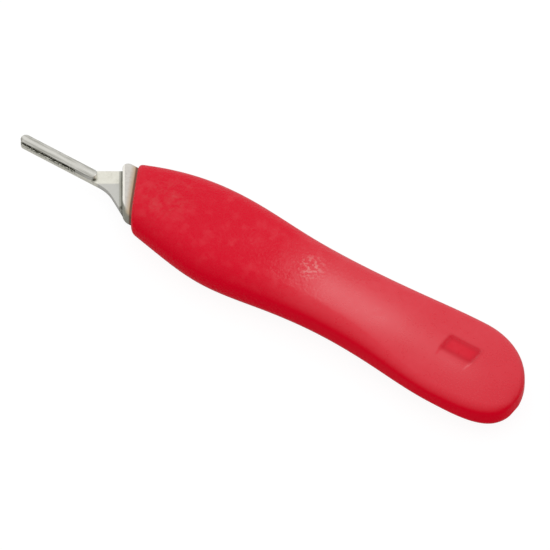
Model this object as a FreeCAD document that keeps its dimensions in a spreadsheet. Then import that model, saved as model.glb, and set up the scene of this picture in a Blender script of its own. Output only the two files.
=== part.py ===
import FreeCAD, Part
import Sketcher
import math
import os

# Heavy scalpel handle: a steel blade fitting with a red plastic grip moulded over its tang.
# Lengths are millimetres. Places along the handle are measured from the tip of the fitting
# on the middle line, towards the tail. Heights are measured from the middle plane of the
# grip. X runs from the tip to the tail, Y across the handle and Z up, out of the blade seat.

SIZES = {
    # Tongue and boss that the blade's slot slides over
    "tongue_width": 2.6,
    "boss_length": 22.6,
    "boss_height": 1.3,
    "boss_edge_bevel": 0.2,
    # Groove milled along both sides of the boss and round its front
    "groove_length": 17.0,
    "groove_height": 0.85,
    "groove_depth": 0.5,
    # Blade seat and its oblique shoulder
    "seat_thickness": 1.55,
    "seat_drop": 1.75,
    "seat_width": 11.3,
    "shoulder_place": 30.5,
    "shoulder_angle": 34.4,
    "far_flare_place": 19.3,
    "far_flare_radius": 3.0,
    "near_flare_place": 24.2,
    "near_flare_radius": 10.0,
    # Collar between the shoulder and the grip
    "collar_length": 3.95,
    "collar_width": 13.6,
    "collar_thickness": 4.85,
    "collar_underside": 3.6,
    "collar_far_round": 1.4,
    "collar_near_round": 3.2,
    "collar_edge_bevel": 0.5,
    # Tang inside the grip
    "tang_length": 62.0,
    "tang_width": 9.0,
    "tang_thickness": 2.8,
    "tang_underside": 2.2,
    # Grip: its front face, the curve of its crown and sides, then for each station its
    # place, its reach to the far and the near side, its thickness and its edge radius
    "grip_front_angle": 27.7,
    "grip_front_bevel": 0.9,
    "crown_radius": 60.0,
    "side_radius": 16.0,
    "nose_place": 27.8,
    "nose_far": 5.9,
    "nose_near": 6.4,
    "nose_thickness": 8.8,
    "nose_corner": 4.1,
    "neck_place": 36.2,
    "neck_far": 9.5,
    "neck_near": 8.95,
    "neck_thickness": 10.2,
    "neck_corner": 4.7,
    "chest_place": 46.1,
    "chest_far": 12.2,
    "chest_near": 11.1,
    "chest_thickness": 11.9,
    "chest_corner": 5.3,
    "belly_place": 62.0,
    "belly_far": 13.05,
    "belly_near": 13.55,
    "belly_thickness": 13.4,
    "belly_corner": 5.9,
    "flank_place": 79.9,
    "flank_far": 11.45,
    "flank_near": 11.7,
    "flank_thickness": 12.4,
    "flank_corner": 5.3,
    "waist_place": 95.75,
    "waist_far": 11.05,
    "waist_near": 10.5,
    "waist_thickness": 11.1,
    "waist_corner": 4.3,
    "hip_place": 112.65,
    "hip_far": 11.75,
    "hip_near": 11.55,
    "hip_thickness": 10.3,
    "hip_corner": 3.5,
    "tail_place": 131.0,
    "tail_far": 12.85,
    "tail_near": 13.4,
    "tail_thickness": 9.1,
    "tail_corner": 2.6,
    # Rounded end behind the tail station. Its tip lies off the middle line, towards the
    # near side. A fullness of two is an ellipse, and more is squarer and fuller.
    "end_length": 19.0,
    "end_tip_offset": 3.2,
    "end_far_fullness": 1.9,
    "end_near_fullness": 3.0,
    "end_side_fullness": 4.0,
}

STATIONS = ("nose", "neck", "chest", "belly", "flank", "waist", "hip", "tail")

# The rounded end's sections lie where these angles of a quarter circle fall on its length.
END_ANGLES = (24, 44, 60, 72, 80, 85.5)

# The rounded end's edge radius shrinks to these shares of its thickness and its far reach.
END_CORNER_TO_THICKNESS = 0.4
END_CORNER_TO_REACH = 0.8

# The line of the grip's front face and of the collar's back crosses the middle line here.
FRONT = "sizes.shoulder_place + sizes.collar_length"

# Millimetres within which two points count as being at one place.
SAME_PLACE = 1e-4


def make_sheet(doc):
    """The driving sizes, one cell each, named by their aliases."""
    sheet = doc.addObject("Spreadsheet::Sheet", "sizes")
    for row, (name, size) in enumerate(SIZES.items(), start=1):
        sheet.set(f"A{row}", name)
        sheet.set(f"B{row}", str(size))
        sheet.setAlias(f"B{row}", name)
    doc.recompute()
    return sheet


class Plan:
    """A sketch on one of a body's origin planes, with each size bound to an expression."""

    def __init__(self, body, name, role, offset):
        self.sketch = body.newObject("Sketcher::SketchObject", name)
        plane = next(item for item in body.Origin.OriginFeatures if item.Role == role)
        self.sketch.AttachmentSupport = [(plane, "")]
        self.sketch.MapMode = "FlatFace"
        self.sketch.setExpression(".AttachmentOffset.Base.z", offset)

    def value(self, expression):
        """The number that an expression of the sheet's sizes stands for."""
        return float(self.sketch.evalExpression(expression))

    def add(self, shape):
        return self.sketch.addGeometry(shape, False)

    def line(self, start, end):
        return self.add(Part.LineSegment(flat(*start), flat(*end)))

    def arc(self, centre, radius, first, last):
        """An arc anticlockwise from one angle to the other, in degrees."""
        circle = Part.Circle(flat(*centre), FreeCAD.Vector(0, 0, 1), radius)
        return self.add(Part.ArcOfCircle(circle, math.radians(first), math.radians(last)))

    def join(self, *pairs):
        for pair in pairs:
            self.sketch.addConstraint(Sketcher.Constraint("Coincident", *pair))

    def smooth(self, *pairs):
        for pair in pairs:
            self.sketch.addConstraint(Sketcher.Constraint("Tangent", *pair))

    def rule(self, kind, *items):
        self.sketch.addConstraint(Sketcher.Constraint(kind, *items))

    def size(self, kind, items, name, expression):
        """A driving size of the sketch, held by an expression of the sheet's sizes."""
        constraint = Sketcher.Constraint(kind, *items, self.value(expression))
        index = self.sketch.addConstraint(constraint)
        self.sketch.renameConstraint(index, name)
        self.sketch.setExpression(f"Constraints.{name}", expression)


def flat(x, y):
    return FreeCAD.Vector(x, y, 0)


def new_body(doc, name):
    """A sub-part's body. It is turned nowhere; its place puts the handle's origin halfway
    along the whole length, in the middle of its width and under the belly."""
    body = doc.addObject("PartDesign::Body", name)
    body.Label = name
    body.setExpression("Placement.Base.x", "-(sizes.tail_place + sizes.end_length) / 2")
    body.setExpression("Placement.Base.z", "sizes.belly_thickness / 2")
    return body


def pad(body, name, plan, height):
    feature = body.newObject("PartDesign::Pad", name)
    feature.Profile = plan.sketch
    feature.setExpression("Length", height)
    body.Document.recompute()
    return feature


def pocket(body, name, plan, depth):
    """Cuts downwards from the plan's plane, and makes sure that something was cut."""
    before = body.Shape.Volume
    feature = body.newObject("PartDesign::Pocket", name)
    feature.Profile = plan.sketch
    feature.setExpression("Length", depth)
    body.Document.recompute()
    if feature.Shape.Volume >= before:
        raise RuntimeError(f"{name} cut nothing")
    return feature


def dress(body, kind, name, base, chosen, setting, size):
    """A fillet or a chamfer on the edges of the base that the function picks."""
    edges = [f"Edge{i}" for i, edge in enumerate(base.Shape.Edges, start=1) if chosen(edge)]
    if not edges:
        raise RuntimeError(f"{name} found no edge")
    feature = body.newObject(kind, name)
    feature.Base = (base, edges)
    feature.setExpression(setting, size)
    body.Document.recompute()
    return feature


def fillet(body, name, base, chosen, radius):
    return dress(body, "PartDesign::Fillet", name, base, chosen, "Radius", radius)


def bevel(body, name, base, chosen, width):
    return dress(body, "PartDesign::Chamfer", name, base, chosen, "Size", width)


def ends(edge):
    return edge.Vertexes[0].Point, edge.Vertexes[-1].Point


def upright(edge):
    start, end = ends(edge)
    return math.hypot(start.x - end.x, start.y - end.y) < SAME_PLACE


def level(edge):
    start, end = ends(edge)
    return abs(start.z - end.z) < SAME_PLACE


def on_slant(edge, place, angle):
    """Whether an edge lies on an upright plane that crosses the middle line at a place and
    leans back from the tip towards the near side, by an angle in degrees."""
    lean = math.tan(math.radians(angle))
    return all(abs(p.x + p.y * lean - place) < SAME_PLACE for p in ends(edge))


# Blade fitting: one forged steel piece, milled on its upper side. The tongue and the seat
# are one flat plate that runs into the thicker collar. The tang behind it is moulded in.

def slot_outline(plan, front, back, width):
    """A straight strip along the middle line with round ends, from front to back."""
    start, stop, half = plan.value(front), plan.value(back), plan.value(width) / 2
    nose = plan.arc((start + half, 0), half, 90, 270)
    near = plan.line((start + half, -half), (stop - half, -half))
    rear = plan.arc((stop - half, 0), half, -90, 90)
    far = plan.line((stop - half, half), (start + half, half))
    plan.smooth((nose, 2, near, 1), (near, 2, rear, 1), (rear, 2, far, 1), (far, 2, nose, 1))
    plan.rule("PointOnObject", nose, 3, -1)
    plan.rule("Horizontal", near)
    plan.size("Radius", (nose,), "end_radius", f"{width} / 2")
    plan.size("DistanceX", (-1, 1, nose, 3), "front_centre", f"{front} + {width} / 2")
    plan.size("DistanceX", (-1, 1, rear, 3), "back_centre", f"{back} - {width} / 2")


def flare(plan, side, place, radius, corner):
    """One edge of the seat: straight along the tongue, then an arc that the tongue runs
    into smoothly, then straight on to the shoulder's corner. Side is 1 far and -1 near."""
    half = plan.value("sizes.tongue_width") / 2
    start = FreeCAD.Vector(plan.value(place), side * half, 0)
    round_size = plan.value(radius)
    centre = start + FreeCAD.Vector(0, side * round_size, 0)
    reach = corner - centre
    turn = math.atan2(reach.x, -side * reach.y) - math.acos(round_size / reach.Length)
    touch = centre + FreeCAD.Vector(math.sin(turn), -side * math.cos(turn), 0) * round_size
    base = -90 * side
    angles = sorted((base, base + side * math.degrees(turn)))
    strip = plan.line((half, side * half), (start.x, start.y))
    bend = plan.arc((centre.x, centre.y), round_size, *angles)
    slope = plan.line((touch.x, touch.y), (corner.x, corner.y))
    first, last = (1, 2) if side > 0 else (2, 1)
    plan.smooth((strip, 2, bend, first), (bend, last, slope, 1))
    plan.rule("Horizontal", strip)
    name = "far" if side > 0 else "near"
    plan.size("Radius", (bend,), f"{name}_radius", radius)
    plan.size("DistanceX", (-1, 1, bend, 3), f"{name}_start", place)
    return strip, slope


def slant_x(place, half, angle, side):
    """Where the slanting line through a place meets a side of the piece, as an expression."""
    sign = "-" if side > 0 else "+"
    return f"{place} {sign} {half} * tan({angle})"


def seat_plan(body):
    """Outline of the tongue and the seat, carried on a little way into the collar."""
    plan = Plan(body, "seat_outline", "XY_Plane", "-sizes.seat_drop - sizes.seat_thickness")
    half = "sizes.seat_width / 2"
    inside = plan.value("sizes.collar_length") / 2
    far_x = slant_x("sizes.shoulder_place", half, "sizes.shoulder_angle", 1)
    near_x = slant_x("sizes.shoulder_place", half, "sizes.shoulder_angle", -1)
    edge = plan.value(half)
    far_corner = flat(plan.value(far_x), edge)
    near_corner = flat(plan.value(near_x), -edge)
    tip = plan.value("sizes.tongue_width") / 2
    nose = plan.arc((tip, 0), tip, 90, 270)
    far = flare(plan, 1, "sizes.far_flare_place", "sizes.far_flare_radius", far_corner)
    near = flare(plan, -1, "sizes.near_flare_place", "sizes.near_flare_radius", near_corner)
    far_end = (far_corner.x + inside, edge)
    near_end = (near_corner.x + inside, -edge)
    far_side = plan.line((far_corner.x, edge), far_end)
    near_side = plan.line((near_corner.x, -edge), near_end)
    back = plan.line(far_end, near_end)
    plan.smooth((nose, 1, far[0], 1), (nose, 2, near[0], 1))
    plan.join((far[1], 2, far_side, 1), (near[1], 2, near_side, 1))
    plan.join((far_side, 2, back, 1), (near_side, 2, back, 2))
    plan.rule("PointOnObject", nose, 3, -1)
    plan.rule("Horizontal", far_side)
    plan.rule("Horizontal", near_side)
    plan.size("Radius", (nose,), "tip_radius", "sizes.tongue_width / 2")
    plan.size("DistanceX", (-1, 1, nose, 3), "tip_centre", "sizes.tongue_width / 2")
    plan.size("DistanceX", (-1, 1, far_side, 1), "far_corner_x", far_x)
    plan.size("DistanceY", (-1, 1, far_side, 1), "far_corner_y", half)
    plan.size("DistanceX", (-1, 1, near_side, 1), "near_corner_x", near_x)
    plan.size("DistanceY", (near_side, 1, -1, 1), "near_corner_y", half)
    plan.size("DistanceX", (far_side, 1, far_side, 2), "far_inside", "sizes.collar_length / 2")
    plan.size("DistanceX", (near_side, 1, near_side, 2), "near_inside",
              "sizes.collar_length / 2")
    return plan


def collar_plan(body):
    """Four-sided outline: the shoulder in front, the slant of the grip's face behind."""
    plan = Plan(body, "collar_outline", "XY_Plane", "-sizes.collar_underside")
    half = "sizes.collar_width / 2"
    corners = []
    for place, angle, side in (
        ("sizes.shoulder_place", "sizes.shoulder_angle", 1),
        ("sizes.shoulder_place", "sizes.shoulder_angle", -1),
        (FRONT, "sizes.grip_front_angle", -1),
        (FRONT, "sizes.grip_front_angle", 1),
    ):
        corners.append((slant_x(place, half, angle, side), side))
    points = [(plan.value(x), side * plan.value(half)) for x, side in corners]
    lines = [plan.line(points[i], points[(i + 1) % 4]) for i in range(4)]
    for i, (x, side) in enumerate(corners):
        plan.join((lines[i - 1], 2, lines[i], 1))
        plan.size("DistanceX", (-1, 1, lines[i], 1), f"corner{i}_x", x)
        pair = (-1, 1, lines[i], 1) if side > 0 else (lines[i], 1, -1, 1)
        plan.size("DistanceY", pair, f"corner{i}_y", half)
    return plan


def groove_plan(body):
    """The cutter's U-shaped path round the boss: outside the tongue and up to the neck
    that stays under the boss's head."""
    plan = Plan(body, "groove_path", "XY_Plane", "sizes.groove_height - sizes.seat_drop")
    clear = plan.value("sizes.tongue_width")
    end = plan.value("sizes.groove_length")
    tip = plan.value("sizes.tongue_width") / 2
    neck = tip - plan.value("sizes.groove_depth")
    outer = [(end, clear), (-clear, clear), (-clear, -clear), (end, -clear)]
    ring = [plan.line(outer[i], outer[i + 1]) for i in range(3)]
    near_end = plan.line((end, -clear), (end, -neck))
    near = plan.line((end, -neck), (tip, -neck))
    nose = plan.arc((tip, 0), neck, 90, 270)
    far = plan.line((tip, neck), (end, neck))
    far_end = plan.line((end, neck), (end, clear))
    plan.join((ring[0], 2, ring[1], 1), (ring[1], 2, ring[2], 1), (ring[2], 2, near_end, 1))
    plan.join((near_end, 2, near, 1), (far, 2, far_end, 1), (far_end, 2, ring[0], 1))
    plan.smooth((near, 2, nose, 2), (nose, 1, far, 1))
    for item in (ring[0], ring[2], near, far):
        plan.rule("Horizontal", item)
    for item in (ring[1], near_end, far_end):
        plan.rule("Vertical", item)
    plan.rule("PointOnObject", nose, 3, -1)
    plan.size("Radius", (nose,), "neck_radius",
              "sizes.tongue_width / 2 - sizes.groove_depth")
    plan.size("DistanceX", (-1, 1, nose, 3), "neck_centre", "sizes.tongue_width / 2")
    plan.size("DistanceX", (-1, 1, near_end, 1), "near_stop", "sizes.groove_length")
    plan.size("DistanceX", (-1, 1, far_end, 1), "far_stop", "sizes.groove_length")
    plan.size("DistanceX", (ring[1], 1, -1, 1), "ahead", "sizes.tongue_width")
    plan.size("DistanceY", (-1, 1, ring[1], 1), "far_clear", "sizes.tongue_width")
    plan.size("DistanceY", (ring[1], 2, -1, 1), "near_clear", "sizes.tongue_width")
    return plan


def tang_plan(body, height):
    """Outline of the tang, from a slant inside the collar to its round end in the grip."""
    plan = Plan(body, "tang_outline", "XY_Plane", height)
    half = "sizes.tang_width / 2"
    start = "sizes.shoulder_place + sizes.collar_length / 2"
    far_x = slant_x(start, half, "sizes.grip_front_angle", 1)
    near_x = slant_x(start, half, "sizes.grip_front_angle", -1)
    end = f"{FRONT} + sizes.tang_length - {half}"
    edge, stop = plan.value(half), plan.value(end)
    far_corner, near_corner = (plan.value(far_x), edge), (plan.value(near_x), -edge)
    front = plan.line(far_corner, near_corner)
    near = plan.line(near_corner, (stop, -edge))
    tip = plan.arc((stop, 0), edge, -90, 90)
    far = plan.line((stop, edge), far_corner)
    plan.join((front, 2, near, 1), (far, 2, front, 1))
    plan.smooth((near, 2, tip, 1), (tip, 2, far, 1))
    plan.rule("Horizontal", near)
    plan.rule("Horizontal", far)
    plan.rule("PointOnObject", tip, 3, -1)
    plan.size("DistanceX", (-1, 1, front, 1), "far_x", far_x)
    plan.size("DistanceX", (-1, 1, front, 2), "near_x", near_x)
    plan.size("DistanceX", (-1, 1, tip, 3), "end_centre", end)
    plan.size("Radius", (tip,), "end_radius", half)
    return plan


def make_blade_fitting(doc):
    body = new_body(doc, "blade_fitting")
    lean = SIZES["grip_front_angle"]
    back = SIZES["shoulder_place"] + SIZES["collar_length"]
    top = SIZES["boss_height"] - SIZES["seat_drop"]
    collar = pad(body, "collar", collar_plan(body), "sizes.collar_thickness")
    far_corner = fillet(
        body, "far_corner", collar,
        lambda edge: upright(edge) and not on_slant(edge, back, lean) and ends(edge)[0].y > 0,
        "sizes.collar_far_round")
    near_corner = fillet(
        body, "near_corner", far_corner,
        lambda edge: upright(edge) and not on_slant(edge, back, lean) and ends(edge)[0].y < 0,
        "sizes.collar_near_round")
    bevel(
        body, "collar_edges", near_corner,
        lambda edge: level(edge) and not on_slant(edge, back, lean),
        "sizes.collar_edge_bevel")
    pad(body, "seat", seat_plan(body), "sizes.seat_thickness")
    boss = Plan(body, "boss_outline", "XY_Plane", "-sizes.seat_drop")
    slot_outline(boss, "0", "sizes.boss_length", "sizes.tongue_width")
    pad(body, "boss", boss, "sizes.boss_height")
    pocket(body, "groove", groove_plan(body), "sizes.groove_height")
    pad(body, "tang", tang_plan(body, "-sizes.tang_underside"), "sizes.tang_thickness")
    bevel(
        body, "boss_edges", body.Tip,
        lambda edge: level(edge) and abs(edge.Vertexes[0].Z - top) < SAME_PLACE,
        "sizes.boss_edge_bevel")
    return body


# Grip: one red plastic moulding. Each station is a cross-section, a flattened oval with a
# crowned top and underside, bulging sides and round edges, and a loft runs through them all.

def section(body, name, place, far, near, thickness, corner, shift=None):
    """A closed oval of eight arcs. The crowns' centres are on the upright axis, or shifted
    from it towards the near side, and the sides' are on the level one. Each round edge
    touches the crown and the side beside it."""
    plan = Plan(body, name, "YZ_Plane", place)
    rise, radius = plan.value(thickness) / 2, plan.value(corner)
    crown, side = plan.value("sizes.crown_radius"), plan.value("sizes.side_radius")
    middle = -plan.value(shift) if shift else 0
    arcs = []
    far_half = edge_turns(plan.value(far) - middle, rise, radius, crown, side)
    near_half = edge_turns(plan.value(near) + middle, rise, radius, crown, side)
    for sign, half, other in ((1, far_half, near_half), (-1, near_half, far_half)):
        reach, centre, side_turn, crown_turn = half
        _, next_centre, next_side_turn, next_crown_turn = other
        start = 0 if sign > 0 else 180
        arcs.append(plan.arc((middle + sign * (reach - side), 0), side, start - side_turn,
                             start + side_turn))
        arcs.append(plan.arc((middle + sign * centre.x, sign * centre.y), radius,
                             start + side_turn, start + crown_turn))
        arcs.append(plan.arc((middle, sign * (rise - crown)), crown, start + crown_turn,
                             start + 180 - next_crown_turn))
        arcs.append(plan.arc((middle - sign * next_centre.x, sign * next_centre.y), radius,
                             start + 180 - next_crown_turn, start + 180 - next_side_turn))
    plan.smooth(*((arcs[i - 1], 2, arcs[i], 1) for i in range(8)))
    far_side, top, near_side, bottom = arcs[0], arcs[2], arcs[4], arcs[6]
    for crowned, words in ((top, "top_shift"), (bottom, "bottom_shift")):
        if shift:
            plan.size("DistanceX", (crowned, 3, -1, 1), words, shift)
        else:
            plan.rule("PointOnObject", crowned, 3, -2)
    plan.rule("PointOnObject", far_side, 3, -1)
    plan.rule("PointOnObject", near_side, 3, -1)
    plan.rule("Equal", top, bottom)
    plan.rule("Equal", far_side, near_side)
    for edge in arcs[3::2]:
        plan.rule("Equal", arcs[1], edge)
    plan.size("Radius", (top,), "crown", "sizes.crown_radius")
    plan.size("Radius", (far_side,), "side", "sizes.side_radius")
    plan.size("Radius", (arcs[1],), "corner", corner)
    plan.size("DistanceX", (-1, 1, far_side, 3), "far_bulge", f"{far} - sizes.side_radius")
    plan.size("DistanceX", (near_side, 3, -1, 1), "near_bulge", f"{near} - sizes.side_radius")
    plan.size("DistanceY", (-1, 1, top, 3), "top_crown",
              f"{thickness} / 2 - sizes.crown_radius")
    plan.size("DistanceY", (bottom, 3, -1, 1), "bottom_crown",
              f"{thickness} / 2 - sizes.crown_radius")
    return plan.sketch


def edge_turns(reach, rise, radius, crown, side):
    """One side's reach, its round edge's centre, and the angles at which that edge meets
    the side and the crown."""
    centre = crossing(rise - crown, crown - radius, reach - side, side - radius)
    side_turn = math.degrees(math.atan2(centre.y, centre.x - (reach - side)))
    crown_turn = math.degrees(math.atan2(centre.y - (rise - crown), centre.x))
    return reach, centre, side_turn, crown_turn


def crossing(crown_y, crown_reach, side_x, side_reach):
    """Where two circles meet on the outer upper side: one about (0, crown_y), the other
    about (side_x, 0). It is the centre of the round edge that touches both."""
    first = FreeCAD.Vector(0, crown_y, 0)
    span = FreeCAD.Vector(side_x, 0, 0) - first
    along = (span.Length ** 2 + crown_reach ** 2 - side_reach ** 2) / (2 * span.Length)
    across = math.sqrt(crown_reach ** 2 - along ** 2)
    unit = FreeCAD.Vector(span).normalize()
    options = [first + unit * along + FreeCAD.Vector(-unit.y, unit.x, 0) * (sign * across)
               for sign in (1, -1)]
    return max(options, key=lambda point: point.x + point.y)


def grip_sections(body):
    """The named stations, then the rounded end, which is fuller on the near side than on
    the far one and squarest seen from the side."""
    sections = []
    for station in STATIONS:
        at = f"sizes.{station}_"
        sections.append(section(body, station, at + "place", at + "far", at + "near",
                                at + "thickness", at + "corner"))
    for count, angle in enumerate(END_ANGLES, start=1):
        along = f"{math.sin(math.radians(angle)):.6f}"
        far_left, near_left = narrowing(along, "far"), narrowing(along, "near")
        tip = "sizes.end_tip_offset"
        far = f"(sizes.tail_far + {tip}) * {far_left} - {tip}"
        near = f"(sizes.tail_near - {tip}) * {near_left} + {tip}"
        shift = f"{tip} * (1 - {far_left})"
        thickness = f"sizes.tail_thickness * {narrowing(along, 'side')}"
        corner = (f"min(sizes.tail_corner; {END_CORNER_TO_THICKNESS} * {thickness}; "
                  f"{END_CORNER_TO_REACH} * sizes.tail_far * {far_left})")
        place = f"sizes.tail_place + sizes.end_length * {along}"
        sections.append(section(body, f"end{count}", place, far, near, thickness, corner,
                                shift))
    return sections


def narrowing(along, view):
    """What is left of the tail's size at a share of the end's length, as an expression."""
    power = f"sizes.end_{view}_fullness"
    return f"(1 - {along} ^ {power}) ^ (1 / {power})"


def front_plan(body):
    """What the oblique front face takes off: a region ahead of the face's line."""
    plan = Plan(body, "front_cut", "XY_Plane", "sizes.belly_thickness")
    reach = "2 * sizes.belly_near"
    far = slant_x(FRONT, reach, "sizes.grip_front_angle", 1)
    near = slant_x(FRONT, reach, "sizes.grip_front_angle", -1)
    wide = plan.value(reach)
    points = [(plan.value(far), wide), (-wide, wide), (-wide, -wide), (plan.value(near), -wide)]
    lines = [plan.line(points[i], points[(i + 1) % 4]) for i in range(4)]
    for i in range(4):
        plan.join((lines[i - 1], 2, lines[i], 1))
    plan.rule("Horizontal", lines[0])
    plan.rule("Vertical", lines[1])
    plan.rule("Horizontal", lines[2])
    plan.size("DistanceX", (-1, 1, lines[0], 1), "far_x", far)
    plan.size("DistanceX", (-1, 1, lines[3], 1), "near_x", near)
    plan.size("DistanceY", (-1, 1, lines[0], 1), "far_y", reach)
    plan.size("DistanceY", (lines[3], 1, -1, 1), "near_y", reach)
    plan.size("DistanceX", (lines[1], 1, -1, 1), "ahead", reach)
    return plan


def make_grip(doc):
    body = new_body(doc, "grip")
    sections = grip_sections(body)
    doc.recompute()
    loft = body.newObject("PartDesign::AdditiveLoft", "whole_grip")
    loft.Profile = sections[0]
    loft.Sections = sections[1:]
    doc.recompute()
    cut = pocket(body, "front_face", front_plan(body), "2 * sizes.belly_thickness")
    place, lean = SIZES["shoulder_place"] + SIZES["collar_length"], SIZES["grip_front_angle"]
    bevel(body, "front_edge", cut, lambda edge: on_slant(edge, place, lean),
          "sizes.grip_front_bevel")
    socket = tang_plan(body, "sizes.tang_thickness - sizes.tang_underside")
    pocket(body, "tang_socket", socket, "sizes.tang_thickness")
    return body


def check(doc, bodies):
    """Stops before anything is written if an object failed or a shape isn't whole."""
    for item in doc.Objects:
        if "Invalid" in item.State or "Error" in item.State:
            raise RuntimeError(f"{item.Label} failed: {item.State}")
    for body in bodies:
        shape = body.Shape
        if shape.isNull() or not shape.isValid() or len(shape.Solids) != 1:
            raise RuntimeError(f"{body.Label} isn't one valid solid")


doc = FreeCAD.newDocument("scalpel_handle")
make_sheet(doc)
parts = [make_blade_fitting(doc), make_grip(doc)]
doc.recompute()
check(doc, parts)
os.makedirs("parts", exist_ok=True)
for part in parts:
    part.Shape.exportStep(f"parts/{part.Label}.step")
    box = part.Shape.BoundBox
    print(part.Label, round(part.Shape.Volume, 1),
          [round(v, 2) for v in (box.XMin, box.YMin, box.ZMin, box.XMax, box.YMax, box.ZMax)])
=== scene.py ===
import math

import bpy
import numpy as np
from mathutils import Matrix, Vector


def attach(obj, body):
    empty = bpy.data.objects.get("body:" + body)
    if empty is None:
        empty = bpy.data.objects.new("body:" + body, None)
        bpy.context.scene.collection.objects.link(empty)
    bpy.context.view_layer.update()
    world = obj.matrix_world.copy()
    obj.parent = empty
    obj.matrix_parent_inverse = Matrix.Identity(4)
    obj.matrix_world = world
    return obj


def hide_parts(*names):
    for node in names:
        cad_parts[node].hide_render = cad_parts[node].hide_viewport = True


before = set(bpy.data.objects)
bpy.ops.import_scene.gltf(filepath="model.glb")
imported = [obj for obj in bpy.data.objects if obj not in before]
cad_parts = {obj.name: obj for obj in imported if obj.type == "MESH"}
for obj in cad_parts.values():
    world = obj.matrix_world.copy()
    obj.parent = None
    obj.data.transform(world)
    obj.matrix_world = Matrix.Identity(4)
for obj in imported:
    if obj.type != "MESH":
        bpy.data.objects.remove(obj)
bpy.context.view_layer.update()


# Tongue and blade seat. One flat steel plate, forged and then milled: a narrow tongue with a
# round tip that flares out into the seat which the blade's heel lies on. Its edges are
# broken by hand, and its rear end runs into the collar.

MM = 0.001
HALF_LENGTH = 75.0
MIDDLE_HEIGHT = 6.7
PLATE_TOP = -1.75
PLATE_LOW = -3.3
TONGUE_HALF = 1.3
SEAT_HALF = 5.65
SHOULDER_PLACE = 30.5
SHOULDER_ANGLE = 34.4
FAR_FLARE = (19.3, 3.0)
NEAR_FLARE = (24.2, 10.0)
INSIDE_COLLAR = 2.0
PLATE_EDGE = 0.16
GROOVE_END = 17.0
TIP_STEPS, RUN_STEPS, BEND_STEPS, FLANK_STEPS = 14, 30, 18, 12
SHARP_ANGLE = 50.0

SEAT_BRIGHT, SEAT_DULL = (0.80, 0.785, 0.70), (0.70, 0.685, 0.60)
SEAT_GREYER = (0.57, 0.565, 0.53)
# A painted reflection of the shoulder's wall in the seat, and painted shade at the shoulder's
# foot.
SEAT_WALL_REFLECTION, SEAT_FOOT_SHADE = (0.38, 0.375, 0.33), (0.17, 0.17, 0.14)
# Painted shade, laid in the groove, on the ledges and in corners.
PAINTED_SHADE = (0.09, 0.09, 0.07)
SHADE_SPECK = 0.0005
# The line past which the seat is greyer.
GREY_LINE_WAY, GREY_LINE_END = (0.56, -0.83, 0), 14.2
# Spots of painted shade: the shoulder's near corner and the boss's rear end.
SHOULDER_SHADE_SPOT = (33.3, -4.3, -1.75)
BOSS_END_SHADE_SPOT = (22.3, -0.7, -1.75)
SHADE_SPOT_RADIUS = 0.9
SCRATCH = (0.012, 0.00018, 0.00018)
STREAK = (0.007, 0.0007, 0.0007)


def tangent_of(degrees):
    """The tangent of an angle in degrees."""
    return math.tan(math.radians(degrees))


def placed(x, y, z):
    """Object points in metres from a place behind the tip, a reach across and a height from
    the grip's middle plane, all in millimetres."""
    x, y, z = np.broadcast_arrays(x, y, z)
    return np.stack([x - HALF_LENGTH, y, z + MIDDLE_HEIGHT], axis=-1) * MM


def edge_round(steps):
    """Inset and drop of a rounded edge for a radius of one: a quarter circle from the face,
    where the inset is one and the drop nothing, to the wall, where it is the other way."""
    turn = np.linspace(0, np.pi / 2, steps)
    return 1 - np.sin(turn), 1 - np.cos(turn)


def outward(outline):
    """Unit normals of a closed outline that runs anticlockwise: the chord between a point's
    two neighbours, turned a quarter clockwise."""
    chord = np.roll(outline, -1, axis=0) - np.roll(outline, 1, axis=0)
    normal = np.stack([chord[:, 1], -chord[:, 0]], axis=-1)
    return normal / np.linalg.norm(normal, axis=1, keepdims=True)


def stacked(name, outline, insets, heights):
    """A closed solid whose rings are the outline moved inwards by each inset along its
    normals, at each height, from the top down. Flat faces close the first ring and the
    last. Insets and heights are rings by points."""
    normal = outward(outline)
    flat_points = outline[None] - insets[..., None] * normal[None]
    points = placed(flat_points[..., 0], flat_points[..., 1], heights)
    return ringed(name, points)


def ringed(name, points):
    """A mesh object of rings of points, each anticlockwise about the way the rings come
    from. Quads join neighbouring rings, and a flat face closes each end."""
    rings, count = points.shape[:2]
    index = np.arange(rings * count).reshape(rings, count)
    upper, lower = index[:-1], index[1:]
    quads = np.stack([upper, lower, np.roll(lower, -1, axis=1), np.roll(upper, -1, axis=1)],
                     axis=-1).reshape(-1, 4)
    faces = quads.tolist() + [index[0].tolist(), index[-1][::-1].tolist()]
    mesh = bpy.data.meshes.new(name)
    mesh.from_pydata(points.reshape(-1, 3).tolist(), [], faces)
    smooth = np.ones(len(faces), bool)
    smooth[-2:] = False
    mesh.polygons.foreach_set("use_smooth", smooth)
    mesh.set_sharp_from_angle(angle=math.radians(SHARP_ANGLE))
    mesh.update()
    piece = bpy.data.objects.new(name, mesh)
    bpy.context.scene.collection.objects.link(piece)
    return piece


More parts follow.
